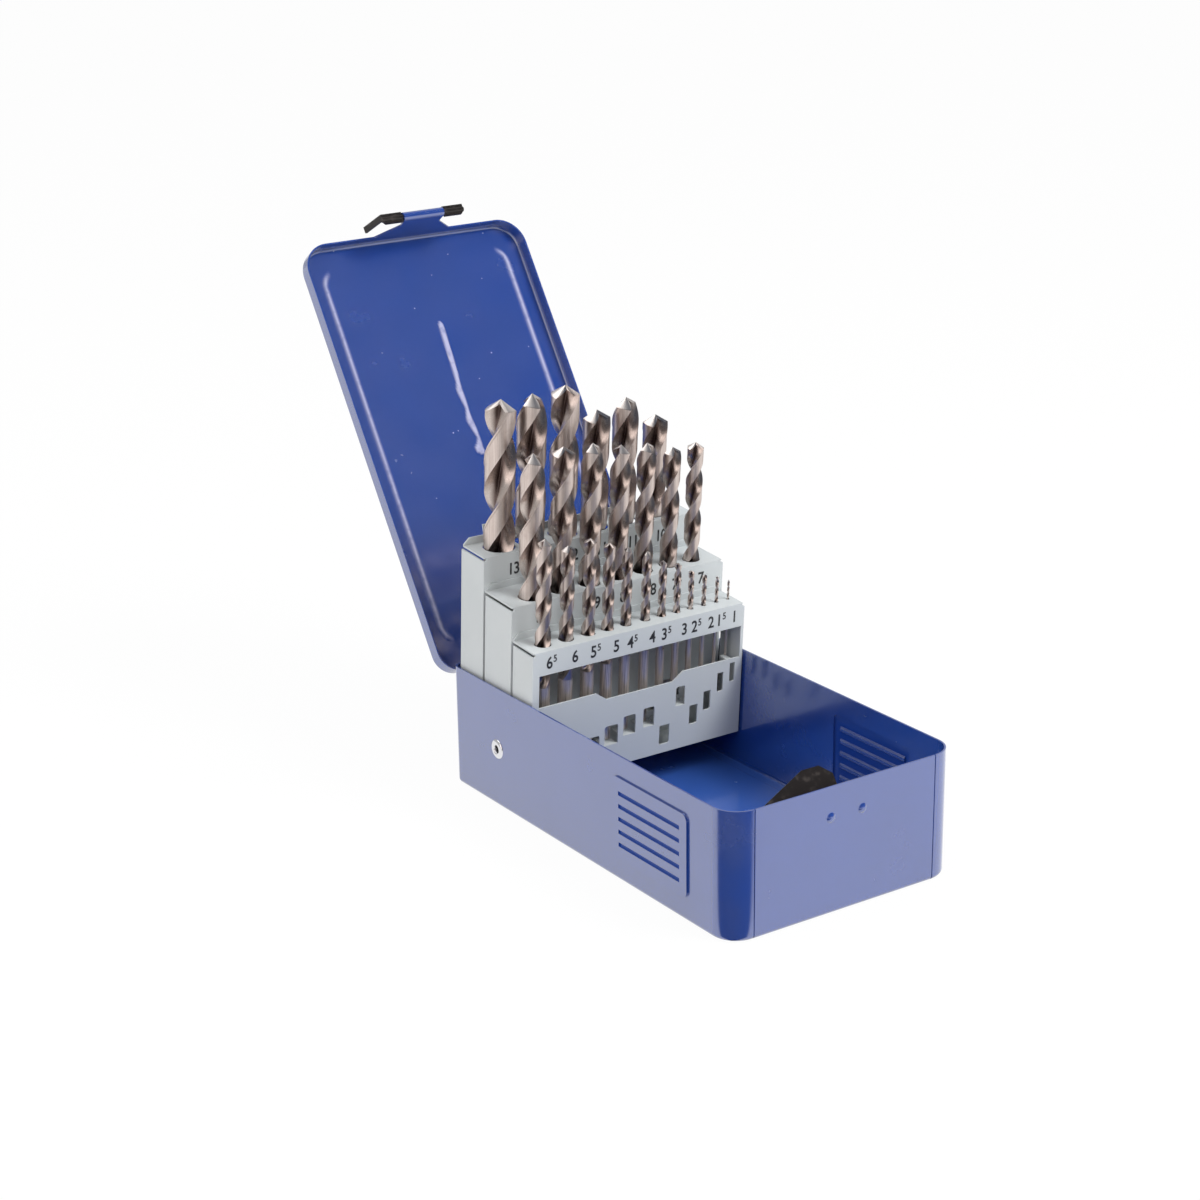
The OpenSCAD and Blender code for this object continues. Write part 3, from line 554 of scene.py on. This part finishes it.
def dressed_node(node, material, edge_mm, shape=None):
    """A copy of a CAD node with its sheet edges bevelled, standing for the node.

    Small edges hold the bevel back: it stays under 0.01 mm on the racks and the side walls.
    """
    source = frame["nodes"][node]
    mesh = source.data.copy()
    work = bmesh.new()
    work.from_mesh(mesh)
    bmesh.ops.remove_doubles(work, verts=work.verts, dist=WELD)
    bmesh.ops.dissolve_limit(
        work, angle_limit=math.radians(COPLANAR_DEG), verts=work.verts, edges=work.edges
    )
    edges = [
        edge for edge in work.edges
        if len(edge.link_faces) == 2 and edge.calc_face_angle() > math.radians(SHARP_EDGE_DEG)
    ]
    bmesh.ops.bevel(
        work, geom=edges, offset=edge_mm * MM, offset_type="OFFSET", segments=2,
        profile=0.6, affect="EDGES", clamp_overlap=True,
    )
    if shape:
        shape(work)
    work.to_mesh(mesh)
    work.free()
    for attribute in list(mesh.attributes):
        if attribute.name == "custom_normal":
            mesh.attributes.remove(attribute)
    mesh.materials.clear()
    mesh.materials.append(material)
    smooth(mesh, SMOOTH_BELOW_DEG)
    piece = link_object(node + "_finish", mesh)
    even = piece.modifiers.new("even_normals", "WEIGHTED_NORMAL")
    even.weight = 90
    even.keep_sharp = True
    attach(piece, body_of[node])
    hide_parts(node)
    return piece


# The grooves' region in a side wall, in millimetres: out from the middle, then y, then z
GROOVE_OUT = (54.05, 54.72)
GROOVE_Y = (-66.0, -25.0)
GROOVE_Z = (13.0, 40.0)


def mark_grooves(work):
    """Writes 1 on the points inside the grip panels' grooves, which then get less gloss as painted shade."""
    groove = work.verts.layers.float.new("groove")
    for vertex in work.verts:
        place = (abs(vertex.co.x) / MM, vertex.co.y / MM, vertex.co.z / MM)
        ranges = (GROOVE_OUT, GROOVE_Y, GROOVE_Z)
        if all(low < value < high for value, (low, high) in zip(place, ranges)):
            vertex[groove] = 1.0


body_of = {
    node: body
    for body, nodes in frame["record"]["behaviour"]["bodies"].items()
    for node in nodes
}


# ---------------------------------------------------------------- twist drill bits
# Angles are in degrees; a share is of the bit's radius, or of its diameter for the shank's
# chamfer, the run-out and its first step

# Cross section: margin, its step down, the land's points, then the flute's
MARGIN_DEG = 8.0
MARGIN_STEP_DEG = 0.8
LAND_START_DEG = 18.0
LAND_END_DEG = 76.0
LAND_POINTS = 6
BODY_RELIEF = 0.965
WEB = 0.17
FLUTE_POINTS = 26
FLUTE_SKEW = 0.82
FLUTE_FULLNESS = 0.62
RINGS_PER_TURN = 44
LEAST_RINGS = 14
POINT_RINGS = 9
CHISEL_SHARE = 0.35
POINT_HALF_ANGLE = 59.0
LIP_RELIEF = 0.2
HELIX_DEG = 32.5
RUNOUT_DIAMETERS = 1.5
RUNOUT_STEP = 0.004
SHANK_CHAMFER = 0.06
# The bits start this far above their seats, so that the two meshes don't touch
SEAT_GAP = 0.03 * MM
GRIND_LINE = 0.35 * MM
GRIND_STRETCH = 0.02
SHANK_SHADE = -1.0
FLUTE_MIDDLE_DEG = 120.0
BIT_SMOOTH_DEG = 34.0


def half_section():
    """Angles, and radii as shares of the full radius, of one of the section's two equal halves."""
    angles = [0.0, MARGIN_DEG - MARGIN_STEP_DEG, MARGIN_DEG + MARGIN_STEP_DEG]
    radii = [1.0, 1.0, BODY_RELIEF]
    for angle in np.linspace(LAND_START_DEG, LAND_END_DEG, LAND_POINTS):
        angles.append(float(angle))
        radii.append(BODY_RELIEF)
    span = 180.0 - LAND_END_DEG
    for k in range(1, FLUTE_POINTS):
        through = k / FLUTE_POINTS
        dip = math.sin(math.pi * through ** FLUTE_SKEW) ** FLUTE_FULLNESS
        rim = BODY_RELIEF + (1.0 - BODY_RELIEF) * through
        angles.append(LAND_END_DEG + span * through)
        radii.append(rim - (rim - WEB) * dip)
    return angles, radii


def section():
    angles, radii = half_section()
    both = np.array(angles + [180.0 + angle for angle in angles])
    return both, np.array(radii + radii)


def bit_frame(node):
    """Base, axis, length, diameter and shank length of a bit, read from its CAD node."""
    axis = Vector(joints[node + "_slide"]["axis"]).normalized()
    points = np.array([v.co[:] for v in frame["nodes"][node].data.vertices])
    along = points @ np.array(axis[:])
    whole, tenths = node.split("_")[1:]
    diameter = (int(whole) + int(tenths) / 10.0) * MM
    low = along.min()
    bottom = points[along < low + 0.01 * MM]
    centre = (bottom.min(0) + bottom.max(0)) / 2.0
    out = points - centre
    off_axis = out - np.outer(out @ np.array(axis[:]), np.array(axis[:]))
    radius = np.linalg.norm(off_axis, axis=1)
    shank = (along - low)[radius > 0.495 * diameter].max()
    return Vector(centre), axis, along.max() - low, diameter, shank


def bit_lead(diameter):
    return math.pi * diameter / math.tan(math.radians(HELIX_DEG))


def bit_rings(length, diameter, shank, seed):
    """The bit's rings from its base to its chisel edge, their grinding lines and flute shade."""
    degrees, shares = section()
    angles = np.radians(degrees)
    radius = diameter / 2.0
    lead = bit_lead(diameter)
    slope = math.tan(math.radians(POINT_HALF_ANGLE))
    even = np.ones(len(angles))
    behind_lip = np.clip((degrees % 180.0) / LAND_END_DEG, 0.0, 1.0)
    relief = LIP_RELIEF * radius * behind_lip
    hollow = np.clip((BODY_RELIEF - shares) / (BODY_RELIEF - WEB), 0.0, 1.0)
    rings, grind, shade, pointed = [], [], [], []

    def add(radii, turn, height, depth, kind=0.0, point=0.0):
        ring = np.stack([radii * np.cos(turn), radii * np.sin(turn), height], axis=1)
        rings.append(ring)
        grind.append(ring * (1.0, 1.0, GRIND_STRETCH) / GRIND_LINE + seed)
        shade.append(even * kind if depth is None else hollow * depth)
        pointed.append(even * point)

    chamfer = SHANK_CHAMFER * diameter
    for radii, height in ((radius - chamfer, SEAT_GAP), (radius, chamfer), (radius, shank)):
        add(even * radii, angles, even * height, None, SHANK_SHADE)
    count = max(int(RINGS_PER_TURN * (length - shank) / lead), LEAST_RINGS)
    end = length - (radius * shares) / slope - relief
    for k in range(count + 1):
        share = k / count
        height = shank + RUNOUT_STEP * diameter + share * (end - shank - RUNOUT_STEP * diameter)
        rise = np.clip((height - shank) / (RUNOUT_DIAMETERS * diameter), 0.0, 1.0)
        depth = np.sqrt(1.0 - (1.0 - rise) ** 2)
        radii = radius * (1.0 + (shares - 1.0) * depth)
        add(radii, angles + 2.0 * math.pi * height / lead, height, depth)
    for k in range(1, POINT_RINGS + 1):
        share = 1.0 - k / (POINT_RINGS + CHISEL_SHARE)
        radii = radius * shares * share
        height = length - radii / slope - relief * share
        turn = angles + 2.0 * math.pi * end / lead
        add(radii, turn, height, None, point=1.0)
    return rings, grind, shade, pointed


def add_values(mesh, name, kind, field, values):
    """Writes one value for each of the mesh's points, for its material to read."""
    attribute = mesh.attributes.new(name, kind, "POINT")
    attribute.data.foreach_set(field, np.concatenate(values).astype(np.float32).ravel())


def make_bit(node, below_tip, seed, material):
    """A fluted bit, turned so that a flute faces the camera at a distance below its tip."""
    base, axis, length, diameter, shank = bit_frame(node)
    rings, grind, shade, pointed = bit_rings(length, diameter, shank, seed)
    points = np.concatenate(rings)
    count = len(rings[0])
    faces = []
    for k in range(len(rings) - 1):
        low, high = k * count, (k + 1) * count
        for i in range(count):
            j = (i + 1) % count
            faces.append((low + i, low + j, high + j, high + i))
    faces.append(tuple(range(count - 1, -1, -1)))
    faces.append(tuple(range((len(rings) - 1) * count, len(rings) * count)))
    across = axis.cross(Vector((0.0, 1.0, 0.0))).normalized()
    basis = Matrix((across, axis.cross(across), axis)).transposed()
    to_camera = basis.transposed() @ (Vector(CAMERA_PLACE) * MM - base)
    facing = math.atan2(to_camera.y, to_camera.x)
    wound = 2.0 * math.pi * (length - below_tip) / bit_lead(diameter)
    turn = facing - math.radians(FLUTE_MIDDLE_DEG) - wound
    basis = basis @ Matrix.Rotation(turn, 3, "Z")
    placed = points @ np.array(basis).T + np.array(base[:])
    mesh = bpy.data.meshes.new(node + "_fluted")
    mesh.from_pydata(placed.tolist(), [], faces)
    mesh.update()
    add_values(mesh, "grind", "FLOAT_VECTOR", "vector", grind)
    add_values(mesh, "flute", "FLOAT", "value", shade)
    add_values(mesh, "pointed", "FLOAT", "value", pointed)
    mesh.materials.append(material)
    smooth(mesh, BIT_SMOOTH_DEG)
    piece = link_object(node + "_fluted", mesh)
    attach(piece, body_of[node])
    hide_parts(node)


# How far below its tip, in millimetres, a flute of each larger bit faces the camera
OTHER_FLUTE_STEP = 1.3
SEED_STEP = 3.0
FLUTE_FACES = {
    "bit_13_0": 30.5, "bit_12_5": 18.4, "bit_12_0": 5.2, "bit_11_5": 10.6, "bit_11_0": 14.7,
    "bit_10_5": 9.1, "bit_10_0": 15.8, "bit_9_5": 6.1, "bit_9_0": 13.1, "bit_8_5": 15.6,
    "bit_8_0": 11.3, "bit_7_5": 8.3, "bit_7_0": 2.6, "bit_6_5": 12.1, "bit_6_0": 6.2,
    "bit_5_5": 13.7, "bit_5_0": 0.6, "bit_4_5": 7.4, "bit_4_0": 6.0,
}


def make_bits():
    material = tool_steel()
    nodes = [name for name in frame["nodes"] if name.startswith("bit_")]
    for index, node in enumerate(sorted(nodes)):
        below_tip = FLUTE_FACES.get(node, OTHER_FLUTE_STEP * index) * MM
        make_bit(node, below_tip, SEED_STEP * index, material)


# ---------------------------------------------------------------- lid
# All in millimetres of the closed lid; low and high are distances from its hinge end

LID_INNER_Z = 57.6
LID_OUTER_Z = 58.3
LID_REAR_Y = 98.9
PANEL_HALF = 49.0
PANEL_LOW = 8.0
PANEL_HIGH = 190.0
PANEL_CUTS = 190
BEAD_HALF = 46.2
BEAD_LOW = 14.0
BEAD_HIGH = 184.0
BEAD_CORNER = 7.0
BEAD_WIDTH = 0.9
BEAD_HEIGHT = 0.5
BEAD_FADE = 2.5
BEAD_FADE_GAIN = 1.3
EMBLEM_HEIGHT = 0.5
EMBLEM_EDGE = 0.3
# How near, in millimetres, a point counts as lying on a plane of the lid's panel
ON_PLANE = 0.01

# Pressed picture of a plain twist drill: distance from the hinge end, middle, half width
DRILL_EMBLEM = (
    (91.0, 1.6, 0.1), (92.5, 0.5, 1.9), (94.5, 0.2, 2.0), (96.5, 1.1, 1.2), (99.0, 1.7, 0.6),
    (104.0, 0.9, 1.3), (107.5, 0.2, 1.5), (110.5, 0.6, 1.0), (113.0, 1.0, 0.7), (118.0, 0.6, 1.2),
    (122.0, 0.3, 1.4), (125.5, 1.0, 0.9), (130.0, 1.4, 1.1), (140.0, 1.8, 1.2), (151.0, 2.2, 1.25),
    (153.3, 2.3, 1.0), (154.2, 2.3, 0.1),
)


def opened(point):
    """A point of the closed lid, in millimetres, where the opened lid holds it."""
    hinge = joints["lid_hinge"]
    centre = Vector(hinge["pos_m"])
    turn = Matrix.Rotation(math.radians(hinge["range_deg"][0]), 3, "X")
    return centre + turn @ (Vector(point) * MM - centre)


def closed(point):
    """The reverse: a point of the opened lid in the closed lid's millimetres."""
    hinge = joints["lid_hinge"]
    centre = Vector(hinge["pos_m"])
    turn = Matrix.Rotation(-math.radians(hinge["range_deg"][0]), 3, "X")
    return (centre + turn @ (Vector(point) - centre)) / MM


def bead_share(x, u):
    """1 on the crest of the two beads along the lid's panel, which fade as they turn inwards."""
    middle = (BEAD_LOW + BEAD_HIGH) / 2.0
    half = (BEAD_HIGH - BEAD_LOW) / 2.0
    dx = abs(x) - (BEAD_HALF - BEAD_CORNER)
    du = abs(u - middle) - (half - BEAD_CORNER)
    outside = math.hypot(max(dx, 0.0), max(du, 0.0)) + min(max(dx, du), 0.0) - BEAD_CORNER
    faded = (dx - BEAD_FADE) / (BEAD_CORNER - BEAD_FADE) * BEAD_FADE_GAIN
    on_side = min(max(faded, 0.0), 1.0)
    return math.exp(-((outside / BEAD_WIDTH) ** 2)) * on_side


def emblem_share(x, u):
    """1 inside the pressed picture of a drill, with soft edges."""
    rows = np.array(DRILL_EMBLEM)
    if not rows[0, 0] < u < rows[-1, 0]:
        return 0.0
    centre = np.interp(u, rows[:, 0], rows[:, 1])
    width = np.interp(u, rows[:, 0], rows[:, 2])
    share = min(max((width + EMBLEM_EDGE - abs(x - centre)) / (2.0 * EMBLEM_EDGE), 0.0), 1.0)
    return share * share * (3.0 - 2.0 * share)


def cut_across(work, point, normal):
    geometry = work.verts[:] + work.edges[:] + work.faces[:]
    bmesh.ops.bisect_plane(work, geom=geometry, plane_co=point, plane_no=normal, dist=0.001 * MM)


def press_panel(work):
    """Cuts a fine grid into both faces of the lid's plate and presses its beads and emblem."""
    across = Vector((1.0, 0.0, 0.0))
    along = (opened((0, 0, 0)) - opened((0, 1, 0))).normalized()
    inward = (opened((0, 0, 0)) - opened((0, 0, 1))).normalized()
    for x in (-PANEL_HALF, PANEL_HALF):
        cut_across(work, opened((x, 0, LID_INNER_Z)), across)
    for u in (PANEL_LOW, PANEL_HIGH):
        cut_across(work, opened((0, LID_REAR_Y - u, LID_INNER_Z)), along)
    middle_u = (PANEL_LOW + PANEL_HIGH) / 2.0
    plates = []
    for face in work.faces:
        centre = closed(face.calc_center_median())
        flat = abs(face.normal.dot(inward)) > 0.999
        inside = abs(centre.x) < 1.0 and abs(LID_REAR_Y - centre.y - middle_u) < 5.0
        if flat and inside and len(face.verts) == 4:
            plates.append(face)
    edges = {edge for face in plates for edge in face.edges}
    bmesh.ops.subdivide_edges(work, edges=list(edges), cuts=PANEL_CUTS, use_grid_fill=True)
    painted_highlight = work.verts.layers.float.new("painted_highlight")
    for vertex in work.verts:
        place = closed(vertex.co)
        x, u = place.x, LID_REAR_Y - place.y
        on_plate = LID_INNER_Z - ON_PLANE < place.z < LID_OUTER_Z + ON_PLANE
        on_width = abs(x) < PANEL_HALF + ON_PLANE
        if on_plate and on_width and PANEL_LOW - ON_PLANE < u < PANEL_HIGH + ON_PLANE:
            bead, emblem = bead_share(x, u), emblem_share(x, u)
            vertex.co += inward * (max(bead * BEAD_HEIGHT, emblem * EMBLEM_HEIGHT) * MM)
            # the bead crests and emblem on the inner face are marked for a painted highlight
            if place.z < LID_INNER_Z + ON_PLANE:
                vertex[painted_highlight] = max(emblem, bead)


# Dust nibs in the lid's enamel: across, distance from the hinge end, radius
NIBS = (
    (-36.7, 193.6, 0.32), (-32.1, 193.9, 0.3), (-7.5, 162.0, 0.28), (17.8, 184.6, 0.22),
    (38.9, 192.1, 0.26), (6.3, 176.0, 0.2), (12.1, 125.3, 0.24), (22.4, 136.1, 0.36),
    (41.9, 136.0, 0.24), (45.8, 154.5, 0.28), (-9.5, 103.2, 0.34), (-6.8, 103.7, 0.26),
    (-45.1, 16.0, 0.36), (30.5, 171.0, 0.2), (-21.0, 140.0, 0.18), (-28.0, 76.0, 0.2),
)
NIB_SIDES = 10
NIB_RINGS = 3
# As shares of a nib's radius: how high its rings rise, how deep it sinks in, and its top
NIB_RISE = 0.45
NIB_SUNK = 0.1
NIB_TOP = 0.35


def make_nibs():
    """Low domes on the lid's inner face, one mesh for all."""
    inward = (opened((0, 0, 0)) - opened((0, 0, 1))).normalized()
    along = (opened((0, 0, 0)) - opened((0, 1, 0))).normalized()
    across = Vector((1.0, 0.0, 0.0))
    work = bmesh.new()
    for x, u, radius in NIBS:
        foot = opened((x, LID_REAR_Y - u, LID_INNER_Z))
        rings = []
        for k in range(NIB_RINGS):
            tilt = 0.5 * math.pi * k / NIB_RINGS
            ring = []
            for i in range(NIB_SIDES):
                turn = 2.0 * math.pi * i / NIB_SIDES
                flat = across * math.cos(turn) + along * math.sin(turn)
                rise = NIB_RISE * math.sin(tilt) - NIB_SUNK
                out = (flat * math.cos(tilt) + inward * rise) * radius * MM
                ring.append(work.verts.new(foot + out))
            rings.append(ring)
        top = work.verts.new(foot + inward * NIB_TOP * radius * MM)
        for low, high in zip(rings, rings[1:]):
            for i in range(NIB_SIDES):
                j = (i + 1) % NIB_SIDES
                work.faces.new((low[i], low[j], high[j], high[i]))
        for i in range(NIB_SIDES):
            work.faces.new((rings[-1][i], rings[-1][(i + 1) % NIB_SIDES], top))
        work.faces.new(list(reversed(rings[0])))
    mesh = bpy.data.meshes.new("lid_nibs")
    work.to_mesh(mesh)
    work.free()
    mesh.materials.append(dusty_enamel())
    smooth(mesh, 60.0)
    piece = link_object("lid_nibs", mesh)
    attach(piece, "lid")


# ---------------------------------------------------------------- pivot eyelets

# Turned outline of an eyelet: radius, distance out from the tray's wall
EYELET_OUTLINE = (
    (1.6, -3.1), (1.6, 0.1), (1.68, 0.4), (1.9, 0.65), (2.25, 0.78), (2.8, 0.78), (3.3, 0.66),
    (3.75, 0.45), (4.02, 0.2), (4.1, 0.0), (3.0, 0.0), (3.0, -0.7), (4.2, -0.7), (4.2, -1.6),
    (3.0, -1.6), (3.0, -2.5), (4.2, -2.5), (4.14, -2.9), (3.8, -3.2), (3.2, -3.3), (2.0, -3.3),
)
EYELET_SIDES = 64
WALL_X = 54.0


def make_eyelet(node, side, material):
    """Rolled eyelet turned about the racks' pivot."""
    centre = Vector(joints["rack_pivot"]["pos_m"])
    points, faces = [], []
    for k in range(EYELET_SIDES):
        turn = 2.0 * math.pi * k / EYELET_SIDES
        for radius, out in EYELET_OUTLINE:
            across = side * (WALL_X + out)
            point = Vector((across, radius * math.cos(turn), radius * math.sin(turn)))
            points.append(centre + point * MM)
    count = len(EYELET_OUTLINE)
    for k in range(EYELET_SIDES):
        here, after = k * count, (k + 1) % EYELET_SIDES * count
        for i in range(count):
            j = (i + 1) % count
            corners = (here + i, after + i, after + j, here + j)
            faces.append(corners if side < 0 else corners[::-1])
    mesh = bpy.data.meshes.new(node + "_rolled")
    mesh.from_pydata([p[:] for p in points], [], faces)
    mesh.update()
    mesh.materials.append(material)
    smooth(mesh, SMOOTH_BELOW_DEG)
    piece = link_object(node + "_rolled", mesh)
    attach(piece, body_of[node])
    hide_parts(node)


# ---------------------------------------------------------------- numbers

RACK_LEAN = math.radians(4.0)
DIGIT_HEIGHT = 5.2 * MM
SMALL_DIGIT = 0.6
NUMBER_THICKENING = 0.13 * MM
INK_THICKNESS = 0.03 * MM
FONT_CAP_SHARE = 0.73
DIGIT_SPACING = 0.92
DIGIT_NARROWING = 0.86
# In millimetres: how far the ink stands before the sheet, how far a number with a small 5 moves
# to the left, and where that 5 stands beside and above the number's middle
INK_AHEAD = 0.02
HALF_SHIFT = 0.9
DIGIT_WIDTH = 2.9
HALF_GAP = 1.2
HALF_RISE = 1.5

# For each rack, in millimetres from the pivots: its face's y, the z of the numbers' middle, then
# x, number and small 5 of each
ROWS = {
    "rack_front": (-22.5, 44.6, [
        (-43.5, "6", "5"), (-32.2, "6", ""), (-22.4, "5", "5"), (-12.2, "5", ""), (-4.4, "4", "5"),
        (5.6, "4", ""), (12.4, "3", "5"), (21.6, "3", ""), (27.6, "2", "5"), (35.2, "2", ""),
        (40.2, "1", "5"), (47.2, "1", ""),
    ]),
    "rack_middle": (-6.5, 57.6, [
        (-38.5, "10", ""), (-25.0, "9", "5"), (-11.0, "9", ""), (2.5, "8", "5"),
        (16.8, "8", ""), (28.6, "7", "5"), (41.0, "7", ""),
    ]),
    "rack_rear": (14.5, 70.8, [
        (-38.0, "13", ""), (-24.5, "12", "5"), (-9.5, "12", ""), (6.0, "11", "5"),
        (20.8, "11", ""), (36.0, "10", "5"),
    ]),
}


def pivot():
    return Vector(joints["rack_pivot"]["pos_m"])


def on_rack(x, y, z):
    """A point of the racks' own upright frame, in millimetres from the pivots, as they stand."""
    return pivot() + Matrix.Rotation(RACK_LEAN, 3, "X") @ (Vector((x, y, z)) * MM)


def add_digit(name, text, x, y, z, size, material):
    data = bpy.data.curves.new(name, "FONT")
    data.body = text
    data.align_x = "CENTER"
    data.align_y = "CENTER"
    data.size = size / FONT_CAP_SHARE
    data.extrude = INK_THICKNESS
    data.offset = NUMBER_THICKENING * size / DIGIT_HEIGHT
    data.space_character = DIGIT_SPACING
    data.materials.append(material)
    piece = bpy.data.objects.new(name, data)
    piece.location = on_rack(x, y, z)
    piece.rotation_euler = (math.pi / 2 + RACK_LEAN, 0.0, 0.0)
    piece.scale = (DIGIT_NARROWING, 1.0, 1.0)
    bpy.context.collection.objects.link(piece)
    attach(piece, "racks")


def make_numbers():
    ink = number_ink()
    for rack, (face, middle, labels) in ROWS.items():
        for x, large, small in labels:
            name = f"{rack}_number_{large}_{small or 0}"
            shift = -HALF_SHIFT if small else 0.0
            add_digit(name, large, x + shift, face - INK_AHEAD, middle, DIGIT_HEIGHT, ink)
            if small:
                wide = DIGIT_WIDTH * len(large) / 2 + HALF_GAP
                add_digit(
                    name + "_half", small, x + shift + wide, face - INK_AHEAD,
                    middle + HALF_RISE, DIGIT_HEIGHT * SMALL_DIGIT, ink,
                )


# ---------------------------------------------------------------- the whole case

EDGES_MM = {"tray": 0.2, "lid": 0.22, "rack": 0.25, "small": 0.12}


def make_case():
    blue = blue_enamel()
    grey = grey_enamel()
    plated = bare_steel("plated_steel", PLATED, PLATED_ROUGHNESS)
    black = black_steel()
    for node in ("tray_floor", "tray_rear_wall"):
        dressed_node(node, blue, EDGES_MM["tray"])
    for node in ("tray_side_left", "tray_side_right"):
        dressed_node(node, blue, EDGES_MM["tray"], shape=mark_grooves)
    for node in ("tray_knuckles", "lid_knuckles", "latch_tab"):
        dressed_node(node, blue, EDGES_MM["small"])
    for node in ("rack_front", "rack_middle", "rack_rear"):
        dressed_node(node, grey, EDGES_MM["rack"])
    dressed_node("hinge_pin", plated, EDGES_MM["small"])
    make_eyelet("pivot_eyelet_left", -1, plated)
    make_eyelet("pivot_eyelet_right", 1, plated)
    for node in ("lid_spring", "latch_lever"):
        dressed_node(node, black, EDGES_MM["small"])
    dressed_node("lid_shell", blue, EDGES_MM["lid"], shape=press_panel)


make_camera()
make_world()
make_floor()
make_lights()
make_case()
make_nibs()
make_bits()
make_numbers()

bpy.context.scene.view_settings.view_transform = "Standard"
